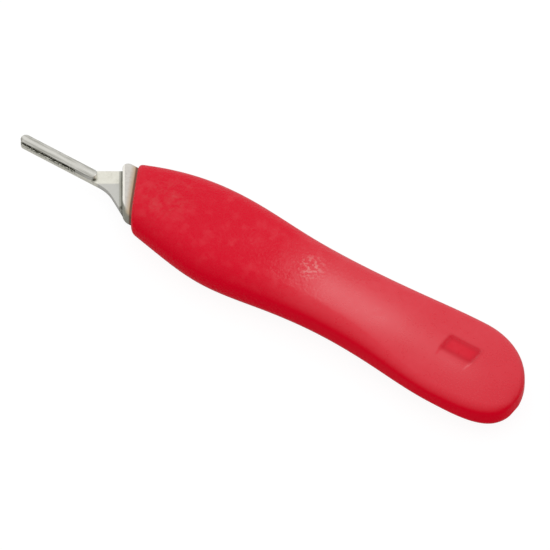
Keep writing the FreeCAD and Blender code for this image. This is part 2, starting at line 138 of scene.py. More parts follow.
def seat_side(flare, side):
    """One side of the plate from the tip's middle to the rear: a quarter circle, a straight,
    the flare's arc, a straight that the arc runs into, and the piece inside the collar. The
    arc turns by the angle to the shoulder's corner, less the tangent's angle there."""
    place, radius = flare
    corner_x = SHOULDER_PLACE - side * SEAT_HALF * tangent_of(SHOULDER_ANGLE)
    reach_x, reach_y = corner_x - place, SEAT_HALF - TONGUE_HALF - radius
    turn = math.atan2(reach_x, -reach_y) - math.acos(radius / math.hypot(reach_x, reach_y))
    tip = np.linspace(np.pi, np.pi / 2, TIP_STEPS)
    bend = np.linspace(0, turn, BEND_STEPS)
    x = np.concatenate([
        TONGUE_HALF * (1 + np.cos(tip)),
        np.linspace(TONGUE_HALF, place, RUN_STEPS)[1:-1],
        place + radius * np.sin(bend),
        np.linspace(place + radius * math.sin(turn), corner_x, FLANK_STEPS)[1:],
        [corner_x + INSIDE_COLLAR],
    ])
    y = np.concatenate([
        TONGUE_HALF * np.sin(tip),
        np.full(RUN_STEPS - 2, TONGUE_HALF),
        TONGUE_HALF + radius * (1 - np.cos(bend)),
        np.linspace(TONGUE_HALF + radius * (1 - math.cos(turn)), SEAT_HALF, FLANK_STEPS)[1:],
        [SEAT_HALF],
    ])
    return np.stack([x, side * y], axis=-1)


def rim(high_edge, low_edge, high, low, count, steps=5):
    """Insets and heights of a plate with both edges rounded, rings by points. Each edge's
    radius is one number, or one for each point."""
    high_edge, low_edge = np.broadcast_to(high_edge, count), np.broadcast_to(low_edge, count)
    inset, drop = edge_round(steps)
    insets = np.concatenate([inset[:, None] * high_edge, inset[::-1, None] * low_edge])
    heights = np.concatenate([high - drop[:, None] * high_edge,
                              low + drop[::-1, None] * low_edge])
    return insets, heights


def group(name, inputs, outputs):
    """An empty shader node group with float inputs and outputs, and its two end nodes."""
    tree = bpy.data.node_groups.new(name, "ShaderNodeTree")
    for words, start in inputs:
        socket = tree.interface.new_socket(words, in_out="INPUT", socket_type="NodeSocketFloat")
        socket.default_value = start
    for words in outputs:
        tree.interface.new_socket(words, in_out="OUTPUT", socket_type="NodeSocketFloat")
    return tree, tree.nodes.new("NodeGroupInput"), tree.nodes.new("NodeGroupOutput")


def maths(tree, operation, first, second):
    """A Math node fed by sockets or numbers. Returns its output."""
    node = tree.nodes.new("ShaderNodeMath")
    node.operation = operation
    for socket, value in zip(node.inputs, (first, second)):
        if isinstance(value, (int, float)):
            socket.default_value = value
        else:
            tree.links.new(value, socket)
    return node.outputs[0]


def noise(tree, coordinates, scale, detail, roughness=0.5):
    """A Noise Texture, whose scale is a number or a socket. Returns its share."""
    node = tree.nodes.new("ShaderNodeTexNoise")
    node.inputs["Detail"].default_value = detail
    node.inputs["Roughness"].default_value = roughness
    tree.links.new(coordinates, node.inputs["Vector"])
    if isinstance(scale, (int, float)):
        node.inputs["Scale"].default_value = scale
    else:
        tree.links.new(scale, node.inputs["Scale"])
    return node.outputs["Fac"]


def spread(tree, value, low, high, floor=0.0, ceiling=1.0):
    """A Map Range node that takes low to floor and high to ceiling, and stops there."""
    node = tree.nodes.new("ShaderNodeMapRange")
    tree.links.new(value, node.inputs["Value"])
    for words, number in (("From Min", low), ("From Max", high), ("To Min", floor),
                          ("To Max", ceiling)):
        node.inputs[words].default_value = number
    return node.outputs["Result"]


def blended(tree, share, first, second):
    """A colour mix of two plain colours or sockets by a share."""
    node = tree.nodes.new("ShaderNodeMix")
    node.data_type = "RGBA"
    tree.links.new(share, node.inputs["Factor"])
    for words, colour in (("A", first), ("B", second)):
        socket = next(s for s in node.inputs if s.name == words and s.type == "RGBA")
        if isinstance(colour, tuple):
            socket.default_value = (*colour, 1)
        else:
            tree.links.new(colour, socket)
    return next(s for s in node.outputs if s.type == "RGBA")


def handling_group():
    """Where fingers have dulled a surface: large soft noise, sharpened a little, with much
    finer noise inside it. Mark is near one in the dulled places."""
    tree, start, end = group("handling", [("Size", 0.01)], ["Mark"])
    where = tree.nodes.new("ShaderNodeTexCoord").outputs["Object"]
    scale = maths(tree, "DIVIDE", 1.0, start.outputs["Size"])
    broad = spread(tree, noise(tree, where, scale, 3.0), 0.42, 0.62)
    fine = spread(tree, noise(tree, where, maths(tree, "MULTIPLY", scale, 9.0), 2.0), 0.3, 0.7)
    tree.links.new(maths(tree, "MULTIPLY", broad, fine), end.inputs["Mark"])
    return tree


def placed_group(tree, shared, **values):
    """A shared node group placed in a material's tree with its own values."""
    node = tree.nodes.new("ShaderNodeGroup")
    node.node_tree = shared
    for words, number in values.items():
        node.inputs[words].default_value = number
    return node


def new_material(name, **values):
    """A material with one Principled shader, with plain values on its own sockets."""
    material = bpy.data.materials.new(name)
    material.use_nodes = True
    tree = material.node_tree
    shader = next(n for n in tree.nodes if n.type == "BSDF_PRINCIPLED")
    for words, number in values.items():
        shader.inputs[words.replace("_", " ")].default_value = number
    return material, tree, shader


def stretched(tree, size):
    """Object coordinates divided by a size along each axis, in metres."""
    where = tree.nodes.new("ShaderNodeTexCoord").outputs["Object"]
    node = tree.nodes.new("ShaderNodeMapping")
    node.inputs["Scale"].default_value = tuple(1 / length for length in size)
    tree.links.new(where, node.inputs["Vector"])
    return node.outputs["Vector"]


def bumped(tree, shader, height, distance, strength):
    """Lets a height turn the shader's normal through a Bump node."""
    node = tree.nodes.new("ShaderNodeBump")
    node.inputs["Distance"].default_value = distance
    node.inputs["Strength"].default_value = strength
    tree.links.new(height, node.inputs["Height"])
    tree.links.new(node.outputs["Normal"], shader.inputs["Normal"])


def across(tree, direction, start, stop):
    """A share that rises from none to all between two distances in millimetres, measured
    along a direction from the tip on the grip's middle plane."""
    node = tree.nodes.new("ShaderNodeVectorMath")
    node.operation = "DOT_PRODUCT"
    where = tree.nodes.new("ShaderNodeTexCoord").outputs["Object"]
    tree.links.new(where, node.inputs[0])
    node.inputs[1].default_value = direction
    origin = Vector((-HALF_LENGTH, 0, MIDDLE_HEIGHT)).dot(direction)
    return spread(tree, node.outputs["Value"], (origin + start) * MM, (origin + stop) * MM)


def overlay(material, share, colour):
    """Lays a plain colour over a material's own where a share, made in its tree, says so."""
    tree = material.node_tree
    base = next(n for n in tree.nodes if n.type == "BSDF_PRINCIPLED").inputs["Base Color"]
    under = base.links[0].from_socket
    tree.links.new(blended(tree, share, under, colour), base)


def speckled(tree, share):
    """The share broken up by fine noise into specks."""
    where = tree.nodes.new("ShaderNodeTexCoord").outputs["Object"]
    spots = spread(tree, noise(tree, where, 1 / SHADE_SPECK, 2.0), 0.42, 0.58, 0.2, 1.0)
    return maths(tree, "MULTIPLY", share, spots)


def near_point(tree, x, y, z, radius):
    """A share that is full round a point and has faded out at a radius in millimetres."""
    node = tree.nodes.new("ShaderNodeVectorMath")
    node.operation = "DISTANCE"
    where = tree.nodes.new("ShaderNodeTexCoord").outputs["Object"]
    tree.links.new(where, node.inputs[0])
    node.inputs[1].default_value = tuple(placed(x, y, z))
    return spread(tree, node.outputs["Value"], 0.3 * radius * MM, radius * MM, 1.0, 0.0)


def steel_material(name, handling, bright, dull, streaks=0.4):
    """Satin steel. Fine scratches run along the piece from the polishing belt, and dull
    patches and streaks are greyer and rougher."""
    material, tree, shader = new_material(name, Metallic=1.0)
    mark = placed_group(tree, handling, Size=0.006).outputs["Mark"]
    scratches = noise(tree, stretched(tree, SCRATCH), 1.0, 4.0, 0.6)
    broad = noise(tree, stretched(tree, STREAK), 1.0, 3.0, 0.6)
    grey = maths(tree, "MAXIMUM", mark, spread(tree, broad, 0.42, 0.62, 0.0, streaks))
    tree.links.new(blended(tree, grey, bright, dull), shader.inputs["Base Color"])
    rough = maths(tree, "ADD", spread(tree, scratches, 0.3, 0.7, 0.26, 0.36),
                  maths(tree, "MULTIPLY", mark, 0.12))
    tree.links.new(rough, shader.inputs["Roughness"])
    bumped(tree, shader, scratches, 0.00004, 0.35)
    return material


handling = handling_group()


def seat_material(handling):
    """The seat's steel is bright up to a line that crosses it aslant, and greyer past it. A
    narrow strip along the shoulder is a painted reflection of the shoulder's wall, and a line
    of painted shade lies at the shoulder's foot. Painted shade, in specks, darkens the ledges
    beside the boss, and spots of painted shade lie at the boss's rear end and in the near
    corner of the shoulder."""
    material = steel_material("seat_steel", handling, SEAT_BRIGHT, SEAT_DULL)
    tree = material.node_tree
    # Greyer past a line that crosses the seat aslant.
    overlay(material, across(tree, GREY_LINE_WAY, GREY_LINE_END, GREY_LINE_END + 0.4), SEAT_GREYER)
    back = (1, tangent_of(SHOULDER_ANGLE), 0)
    # A painted reflection of the shoulder's wall, then a line of painted shade at its foot.
    overlay(material, across(tree, back, SHOULDER_PLACE - 1.2, SHOULDER_PLACE - 0.8),
            SEAT_WALL_REFLECTION)
    overlay(material, across(tree, back, SHOULDER_PLACE - 0.5, SHOULDER_PLACE - 0.3),
            SEAT_FOOT_SHADE)
    # Painted shade in specks on the ledges under the boss's groove.
    ledge = maths(tree, "MULTIPLY", across(tree, (0, 0, 1), PLATE_TOP - 0.9, PLATE_TOP - 0.2),
                  across(tree, (-1, 0, 0), -GROOVE_END - 0.6, -GROOVE_END + 0.2))
    overlay(material, speckled(tree, ledge), PAINTED_SHADE)
    # Spots of painted shade at the shoulder's near corner and the boss's rear end.
    overlay(material, near_point(tree, *SHOULDER_SHADE_SPOT, SHADE_SPOT_RADIUS), PAINTED_SHADE)
    overlay(material, near_point(tree, *BOSS_END_SHADE_SPOT, SHADE_SPOT_RADIUS), PAINTED_SHADE)
    return material


near_side = seat_side(NEAR_FLARE, -1)
far_side = seat_side(FAR_FLARE, 1)
plate_outline = np.concatenate([near_side, far_side[:0:-1]])
plate = stacked("blade_seat", plate_outline,
                *rim(PLATE_EDGE, PLATE_EDGE, PLATE_TOP, PLATE_LOW, len(plate_outline)))
plate.data.materials.append(seat_material(handling))
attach(plate, "root")
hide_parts("blade_fitting")


# Boss. The raised rib along the tongue that a blade's slot slides over, milled from the same
# steel. A narrow cutter has undercut it along both sides and round the tip, so the blade's
# lips catch under its head, and the last few millimetres are left full.

BOSS_TOP = -0.45
BOSS_END = 22.6
BOSS_EDGE = 0.24
GROOVE_DEPTH = 0.5
GROOVE_TOP = -0.9
GROOVE_CORNER = 0.08
GROOVE_STOP = 0.2
BOSS_BRIGHT, BOSS_DULL = (0.60, 0.59, 0.55), (0.37, 0.365, 0.325)
BOSS_PALE_BAND = (0.74, 0.73, 0.68)
# A spot of painted shade at the boss's tip.
TIP_SHADE_SPOT, TIP_SHADE_RADIUS = (0.2, -0.9, -1.1), 1.1


def boss_outline():
    """A strip with half circles at its ends, anticlockwise from the tip. The groove stops
    between two points of its straight sides that are close together."""
    turn = np.linspace(np.pi, np.pi * 1.5, TIP_STEPS)
    run = np.concatenate([np.linspace(TONGUE_HALF, GROOVE_END - GROOVE_STOP, RUN_STEPS)[1:],
                          np.linspace(GROOVE_END, BOSS_END - TONGUE_HALF, 8)])
    rear = np.linspace(-np.pi / 2, np.pi / 2, 25)[1:-1]
    side = np.full(len(run), -TONGUE_HALF)
    half = np.stack([np.concatenate([TONGUE_HALF * (1 + np.cos(turn)), run]),
                     np.concatenate([TONGUE_HALF * np.sin(turn), side])], axis=-1)
    end = np.stack([BOSS_END - TONGUE_HALF * (1 - np.cos(rear)), TONGUE_HALF * np.sin(rear)],
                   axis=-1)
    return np.concatenate([half, end, half[:0:-1] * (1, -1)])


def boss_material(handling):
    """Streaky milled steel, paler along the middle of the top. Painted shade, in specks,
    darkens the groove under the head, and a spot of painted shade lies at the tip."""
    material = steel_material("boss_steel", handling, BOSS_BRIGHT, BOSS_DULL, streaks=1.0)
    tree = material.node_tree
    # Paler along the middle of the top.
    middle = maths(tree, "MULTIPLY", across(tree, (0, 1, 0), -0.8, -0.2),
                   across(tree, (0, -1, 0), -0.6, 0.0))
    overlay(material, maths(tree, "MULTIPLY", middle, 0.7), BOSS_PALE_BAND)
    # Painted shade in specks inside the groove under the head.
    groove = across(tree, (0, 0, -1), -GROOVE_TOP - 0.3, -GROOVE_TOP + 0.1)
    ahead = across(tree, (-1, 0, 0), -GROOVE_END - 0.1, -GROOVE_END + 0.1)
    inside = maths(tree, "MULTIPLY", groove, ahead)
    overlay(material, speckled(tree, inside), PAINTED_SHADE)
    # A spot of painted shade at the tip.
    overlay(material, near_point(tree, *TIP_SHADE_SPOT, TIP_SHADE_RADIUS), PAINTED_SHADE)
    return material


boss_ring = boss_outline()
undercut = np.where(boss_ring[:, 0] < GROOVE_END - GROOVE_STOP / 2, GROOVE_DEPTH, 0.0)
round_inset, round_drop = edge_round(5)
level = np.ones(len(boss_ring))
boss_insets = np.concatenate([
    round_inset[:, None] * BOSS_EDGE * level,
    [0 * level, GROOVE_CORNER * (undercut > 0), undercut, undercut],
])
boss_heights = np.concatenate([
    (BOSS_TOP - round_drop[:, None] * BOSS_EDGE) * level,
    [(GROOVE_TOP + GROOVE_CORNER) * level, GROOVE_TOP * level, GROOVE_TOP * level,
     (PLATE_TOP - PLATE_EDGE) * level],
])
boss = stacked("blade_boss", boss_ring, boss_insets, boss_heights)
boss.data.materials.append(boss_material(handling))
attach(boss, "root")


# Collar. The thick part of the steel piece between the seat and the grip. Its front is the
# oblique shoulder that the blade's heel stops against, and the mould closed on its back.

COLLAR_TOP = 1.25
COLLAR_LOW = -3.6
COLLAR_HALF = 6.8
COLLAR_LENGTH = 3.95
COLLAR_FAR_ROUND = 1.4
COLLAR_NEAR_ROUND = 3.2
COLLAR_EDGE = 0.5
COLLAR_NEAR_EDGE = 2.3
COLLAR_NEAR_TURN = (3.6, 5.8)
COLLAR_REAR = 24
GRIP_PLACE = SHOULDER_PLACE + COLLAR_LENGTH
GRIP_ANGLE = 27.7

COLLAR_BRIGHT, COLLAR_DULL = (0.66, 0.635, 0.59), (0.56, 0.54, 0.50)
# A painted highlight on the front edge, and painted shade on the walls.
COLLAR_FRONT_HIGHLIGHT, COLLAR_WALL_SHADE = (0.92, 0.90, 0.83), (0.36, 0.36, 0.30)
# A painted reflection of the red grip in the steel near it.
GRIP_REFLECTION, GRIP_REFLECTION_LENGTH = (0.50, 0.36, 0.23), 2.4
# A line of painted shade where the steel meets the grip.
GRIP_CONTACT_SHADE = (0.20, 0.10, 0.07)


def corner_arc(corner, before, after, radius, steps=9):
    """The arc of a radius that rounds a corner between the points before and after it. Each
    point is the centre plus the arc's two end radii, weighted by the sines of the turns to
    the other end and over the sine of the whole turn."""
    corner, before, after = (np.array(point, float) for point in (corner, before, after))
    to_before = (before - corner) / np.linalg.norm(before - corner)
    to_after = (after - corner) / np.linalg.norm(after - corner)
    half = math.acos(to_before @ to_after) / 2
    middle = (to_before + to_after) / np.linalg.norm(to_before + to_after)
    centre = corner + middle * radius / math.sin(half)
    first = corner + to_before * radius / math.tan(half) - centre
    last = corner + to_after * radius / math.tan(half) - centre
    turn = np.linspace(0, np.pi - 2 * half, steps)[:, None]
    return centre + (first * np.sin(np.pi - 2 * half - turn) + last * np.sin(turn)) / math.sin(
        np.pi - 2 * half)


def collar_outline():
    """Anticlockwise from the back's far end: along the far side, round to the shoulder,
    round the near corner and back along the near side. The back follows the grip's face."""
    front = [SHOULDER_PLACE - side * COLLAR_HALF * tangent_of(SHOULDER_ANGLE)
             for side in (1, -1)]
    back = [GRIP_PLACE - side * COLLAR_HALF * tangent_of(GRIP_ANGLE) for side in (1, -1)]
    far_back, far_front = (back[0], COLLAR_HALF), (front[0], COLLAR_HALF)
    near_front, near_back = (front[1], -COLLAR_HALF), (back[1], -COLLAR_HALF)
    far = corner_arc(far_front, far_back, near_front, COLLAR_FAR_ROUND)
    near = corner_arc(near_front, far_front, near_back, COLLAR_NEAR_ROUND)
    shoulder = np.linspace(far[-1], near[0], 24)[1:-1]
    rear = np.linspace(near_back, far_back, COLLAR_REAR)
    return np.concatenate([far, shoulder, near, rear])


def collar_points():
    """Rings of the collar. The upper edge is a narrow round in front and on the far side,
    and grows into a broad one on the near side. The back stays on the grip's face."""
    ring = collar_outline()
    low = np.full(len(ring), COLLAR_EDGE)
    high = low + (COLLAR_NEAR_EDGE - COLLAR_EDGE) * np.interp(
        -ring[:, 1], COLLAR_NEAR_TURN, (0, 1))
    insets, heights = rim(high, low, COLLAR_TOP, COLLAR_LOW, len(ring), steps=9)
    points = ring[None] - insets[..., None] * outward(ring)[None]
    near_y = insets[:, -COLLAR_REAR - 1, None] - COLLAR_HALF
    far_y = COLLAR_HALF - insets[:, :1]
    share = np.linspace(0, 1, COLLAR_REAR)
    y = near_y + (far_y - near_y) * share
    points[:, -COLLAR_REAR:] = np.stack([GRIP_PLACE - y * tangent_of(GRIP_ANGLE), y], axis=-1)
    near_height, far_height = heights[:, -COLLAR_REAR - 1, None], heights[:, :1]
    heights[:, -COLLAR_REAR:] = near_height + (far_height - near_height) * share
    return placed(points[..., 0], points[..., 1], heights)


def collar_material(handling):
    """Bright steel. Along the plastic its upper part carries a painted reflection of the red
    grip, and a line of painted shade lies against the plastic. The front edge has a painted
    highlight, the walls are painted darker as shade, and a spot of painted shade lies in the
    shoulder's near corner."""
    material = steel_material("collar_steel", handling, COLLAR_BRIGHT, COLLAR_DULL)
    tree = material.node_tree
    ahead = (-1, -tangent_of(SHOULDER_ANGLE), 0)
    # A painted highlight along the front edge.
    overlay(material, across(tree, ahead, -SHOULDER_PLACE - 0.8, -SHOULDER_PLACE - 0.5),
            COLLAR_FRONT_HIGHLIGHT)
    # The walls painted darker as shade.
    overlay(material, across(tree, (0, 0, -1), 0.45 - COLLAR_TOP, 0.8 - COLLAR_TOP),
            COLLAR_WALL_SHADE)
    back = (1, tangent_of(GRIP_ANGLE), 0)
    # A painted reflection of the red grip, on the upper part near the plastic.
    near_plastic = across(tree, back, GRIP_PLACE - GRIP_REFLECTION_LENGTH, GRIP_PLACE - 0.9)
    near_top = across(tree, (0, 0, 1), COLLAR_TOP - 1.8, COLLAR_TOP - 0.8)
    overlay(material, maths(tree, "MULTIPLY", near_plastic, near_top), GRIP_REFLECTION)
    # A line of painted shade against the plastic.
    overlay(material, across(tree, back, GRIP_PLACE - 1.1, GRIP_PLACE - 0.8), GRIP_CONTACT_SHADE)
    # A spot of painted shade at the shoulder's near corner.
    overlay(material, near_point(tree, *SHOULDER_SHADE_SPOT, SHADE_SPOT_RADIUS), PAINTED_SHADE)
    return material


collar = ringed("collar", collar_points())
collar_steel = collar_material(handling)
collar.data.materials.append(collar_steel)
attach(collar, "root")


# Tang. The plain flat end of the steel piece, cast into the grip and out of sight.

TANG_HALF = 4.5
TANG_END = 96.4
TANG_TOP = 0.6
TANG_LOW = -2.2
TANG_EDGE = 0.1

tang_turn = np.linspace(-np.pi / 2, np.pi / 2, 25)
tang_start = SHOULDER_PLACE + COLLAR_LENGTH / 2
tang_slant = TANG_HALF * tangent_of(GRIP_ANGLE)
tang_ring = np.concatenate([
    [[tang_start + tang_slant, -TANG_HALF]],
    np.stack([TANG_END - TANG_HALF * (1 - np.cos(tang_turn)), TANG_HALF * np.sin(tang_turn)],
             axis=-1),
    [[tang_start - tang_slant, TANG_HALF]],
])
tang = stacked("tang", tang_ring,
               *rim(TANG_EDGE, TANG_EDGE, TANG_TOP, TANG_LOW, len(tang_ring), steps=3))
tang.data.materials.append(collar_steel)
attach(tang, "root")


# Grip. One solid red plastic moulding, cast over the tang: a thick belly for the palm, a
# slimmer waist and a slab-like tail with a rounded end. The mould gave it a fine pebbled
# skin, and a plain shallow panel is sunk into the top near the tail.

NOSE, TAIL, END_LENGTH = 27.8, 131.0, 19.0
PLACES = np.array([NOSE, 36.2, 46.1, 62.0, 79.9, 95.75, 112.65, TAIL])
FAR_REACH = np.array([5.9, 9.5, 12.2, 13.05, 11.45, 11.05, 11.75, 12.85])
NEAR_REACH = np.array([6.4, 8.95, 11.1, 13.55, 11.7, 10.5, 11.55, 13.4])
THICKNESS = np.array([8.8, 10.2, 11.9, 13.4, 12.4, 11.1, 10.3, 9.1])
EDGE_RADIUS = np.array([4.1, 4.7, 5.3, 5.9, 5.3, 4.3, 3.5, 2.6])
CROWN_RADIUS, SIDE_RADIUS = 60.0, 16.0
TIP_OFFSET = 3.2
FAR_FULLNESS, NEAR_FULLNESS, SIDE_FULLNESS = 1.9, 3.0, 4.0
LAST_ANGLE = math.radians(89.4)
END_EDGE, END_EDGE_FAR = 0.4, 0.8
FRONT_EDGE, FRONT_STEPS, FRONT_TRIES = 1.1, 9, 12
PANEL_MIDDLE = (131.0, 0.7)
PANEL_HALF = (4.6, 2.45)
PANEL_CORNER = 0.8
PANEL_DEPTH = 0.22
PANEL_WALL = 0.35
SQUARE_FROM, SQUARE_TO = PANEL_MIDDLE[0] - 8, PANEL_MIDDLE[0] + 8
SLANTED_ROWS, SQUARE_ROWS, END_ROWS = 150, 90, 50
ABOVE_STEPS, BELOW_STEPS = (7, 14, 44), (7, 14, 14)

RED, HANDLED_RED = (0.78, 0.0035, 0.024), (0.80, 0.014, 0.036)
# A painted sheen on the pebbles, and a pale cloud colour.
PEBBLE_SHEEN_RED, CLOUD_RED = (0.82, 0.034, 0.055), (0.74, 0.075, 0.08)
# Pale pebble glints, which are painted highlights, and the sides' red painted deeper as shade.
GLINT_RED, SHADED_WALL_RED = (0.85, 0.18, 0.18), (0.77, 0.0006, 0.017)
# The panel's rim painted darker as shade.
PANEL_RIM_SHADE_RED = (0.64, 0.003, 0.02)
PANEL_FADE = (-0.9, 0.6)
PEBBLED_TO = (84.0, 96.0)
POLISHED_FROM = (76.0, 92.0)
# Where a pale wispy cloud lies on the chest.
CLOUD_PLACE = (44.5, -1.0, 5.6, 9.0)
# Where a patch of painted pebble glints lies on the flank.
GLINT_PATCH = (86.2, 0.6, 5.9, 4.8)
PEBBLES_A_METRE, SHEEN_BLOTCHES_A_METRE, CLOUDS_A_METRE = 1300.0, 330.0, 520.0


def smooth_through(sizes):
    """The cubic spline through the sizes at the stations' places: free at the nose, level at
    the tail. Its second derivatives solve the usual three-term equations."""
    gap, rise = np.diff(PLACES), np.diff(sizes) / np.diff(PLACES)
    count = len(PLACES)
    system, right = np.zeros((count, count)), np.zeros(count)
    system[0, 0] = 1
    for i in range(1, count - 1):
        system[i, i - 1:i + 2] = gap[i - 1], 2 * (gap[i - 1] + gap[i]), gap[i]
        right[i] = 6 * (rise[i] - rise[i - 1])
    system[-1, -2:] = gap[-1], 2 * gap[-1]
    right[-1] = -6 * rise[-1]
    bend = np.linalg.solve(system, right)

    def at(x):
        i = np.clip(np.searchsorted(PLACES, x) - 1, 0, count - 2)
        after, before, span = x - PLACES[i], PLACES[i + 1] - x, gap[i]
        return (
            (bend[i] * before ** 3 + bend[i + 1] * after ** 3) / (6 * span)
            + (sizes[i] / span - bend[i] * span / 6) * before
            + (sizes[i + 1] / span - bend[i + 1] * span / 6) * after
        )

    return at


far_at, near_at = smooth_through(FAR_REACH), smooth_through(NEAR_REACH)
thickness_at, radius_at = smooth_through(THICKNESS), smooth_through(EDGE_RADIUS)


def end_left(x, fullness):
    """What the rounded end leaves of the tail's size: a superellipse, which is one less the
    share of the end's length to the power of the fullness, and the root of that power."""
    share = np.clip((x - TAIL) / END_LENGTH, 0, 1)
    return (1 - share ** fullness) ** (1 / fullness)


def quarter_oval(t, reach, rise, radius):
    """A quarter of the section, from the side at zero to the crown at three: an arc about a
    centre on the level axis, the edge's arc, and an arc about a centre on the upright axis,
    each running into the next. Returns the point and the outward normal."""
    crown_y, side_x = rise - CROWN_RADIUS, reach - SIDE_RADIUS
    crown_reach, side_reach = CROWN_RADIUS - radius, SIDE_RADIUS - radius
    span = np.hypot(side_x, crown_y)
    along = (span ** 2 + crown_reach ** 2 - side_reach ** 2) / (2 * span)
    aside = np.sqrt(crown_reach ** 2 - along ** 2)
    edge_x = side_x / span * along - crown_y / span * aside
    edge_y = crown_y - crown_y / span * along - side_x / span * aside
    side_turn = np.arctan2(edge_y, edge_x - side_x)
    crown_turn = np.arctan2(edge_y - crown_y, edge_x)
    on_side, on_edge = t < 1, (t >= 1) & (t < 2)
    turn = np.where(on_side, t * side_turn, np.where(
        on_edge, side_turn + (t - 1) * (crown_turn - side_turn),
        crown_turn + (t - 2) * (np.pi / 2 - crown_turn)))
    centre_x = np.where(on_side, side_x, np.where(on_edge, edge_x, 0))
    centre_y = np.where(on_side, 0, np.where(on_edge, edge_y, crown_y))
    size = np.where(on_side, SIDE_RADIUS, np.where(on_edge, radius, CROWN_RADIUS))
    normal = np.cos(turn), np.sin(turn)
    return centre_x + size * normal[0], centre_y + size * normal[1], *normal


def quarter_steps(side, edge, crown):
    """Parameters of a quarter's columns, with so many on each of its three arcs."""
    return np.concatenate([np.linspace(0, 1, side, endpoint=False),
                           np.linspace(1, 2, edge, endpoint=False),
                           np.linspace(2, 3, crown, endpoint=False)])


above, below = quarter_steps(*ABOVE_STEPS), quarter_steps(*BELOW_STEPS)
column_t = np.concatenate([above, 3 - above, below, 3 - below])
counts = [len(above), len(above), len(below), len(below)]
column_y = np.repeat([1, -1, -1, 1], counts)
column_z = np.repeat([1, 1, -1, -1], counts)


def grip_skin(x):
    """Points and normals across the grip at places, rows by columns. Behind the tail the
    section closes up on the tip, which lies off the middle line towards the near side."""
    whole = np.minimum(x, TAIL)
    far_left, near_left = end_left(x, FAR_FULLNESS), end_left(x, NEAR_FULLNESS)
    thickness = thickness_at(whole) * end_left(x, SIDE_FULLNESS)
    far = far_at(whole) * far_left
    near = (near_at(whole) - TIP_OFFSET) * near_left + TIP_OFFSET * far_left
    radius = np.minimum(radius_at(whole), np.where(
        x > TAIL, np.minimum(END_EDGE * thickness, END_EDGE_FAR * far), np.inf))
    reach = np.where(column_y > 0, far, near)
    y, z, normal_y, normal_z = quarter_oval(column_t, reach, thickness / 2, radius)
    y = y * column_y - TIP_OFFSET * (1 - far_left)
    return y, z * column_z, normal_y * column_y, normal_z * column_z


def front_rows(inset, behind):
    """Rows that follow the oblique front plane at distances behind it, moved inwards by
    insets. The place depends on the reach and the other way round, so both are refined in
    turn."""
    slant = math.radians(GRIP_ANGLE)
    front = GRIP_PLACE + behind[:, None] / math.cos(slant)
    x = front + np.zeros(len(column_t))
    for _ in range(FRONT_TRIES):
        y, z, normal_y, normal_z = grip_skin(x)
        y, z = y - inset[:, None] * normal_y, z - inset[:, None] * normal_z
        x = front - y * math.tan(slant)
    return x, y, z


def panel_depth(x, y):
    """How deep the plain panel is at a point of the top: full depth inside a rectangle with
    round corners, and a smooth step up round its rim."""
    over_x = np.abs(x - PANEL_MIDDLE[0]) - PANEL_HALF[0] + PANEL_CORNER
    over_y = np.abs(y - PANEL_MIDDLE[1]) - PANEL_HALF[1] + PANEL_CORNER
    outside = np.hypot(np.maximum(over_x, 0), np.maximum(over_y, 0)) - PANEL_CORNER
    share = np.clip(0.5 - outside / PANEL_WALL, 0, 1)
    return PANEL_DEPTH * share ** 2 * (3 - 2 * share)


def grip_points():
    """The front's rounded edge, rows that lose the front's slant as they go back, rows square
    to the handle, and rows that close up round the end."""
    inset, behind = edge_round(FRONT_STEPS)
    x_front, y_front, z_front = front_rows(inset * FRONT_EDGE, behind * FRONT_EDGE)
    share = np.linspace(0, 1, SLANTED_ROWS)[1:, None]
    slanted = x_front[-1] + (SQUARE_FROM - x_front[-1]) * share
    square = np.linspace(SQUARE_FROM, SQUARE_TO, SQUARE_ROWS)[1:, None]
    first_angle = math.asin((SQUARE_TO - TAIL) / END_LENGTH)
    turn = np.linspace(first_angle, LAST_ANGLE, END_ROWS)[1:, None]
    rest = np.concatenate([square, TAIL + END_LENGTH * np.sin(turn)])
    x = np.concatenate([slanted, rest + np.zeros(len(column_t))])
    y, z, normal_y, normal_z = grip_skin(x)
    sunk = np.where(column_z * (column_t > 1) > 0, panel_depth(x, y), 0)
    z = z - sunk
    points = placed(np.concatenate([x_front, x]), np.concatenate([y_front, y]),
                    np.concatenate([z_front, z]))
    return points[:, ::-1]


def panel_share(tree, inside):
    """A share that is full over the panel, less a margin in millimetres inside its rim: the
    product of one rise from each of its four sides, and one from the grip's middle plane up."""
    share = across(tree, (0, 0, 1), 0.0, 1.0)
    for along, aside in ((1, 0), (-1, 0), (0, 1), (0, -1)):
        half = PANEL_HALF[0] if along else PANEL_HALF[1]
        rim_place = along * PANEL_MIDDLE[0] + aside * PANEL_MIDDLE[1] - half + inside
        rise = across(tree, (along, aside, 0), rim_place + PANEL_FADE[0],
                      rim_place + PANEL_FADE[1])
        share = maths(tree, "MULTIPLY", share, rise)
    return share


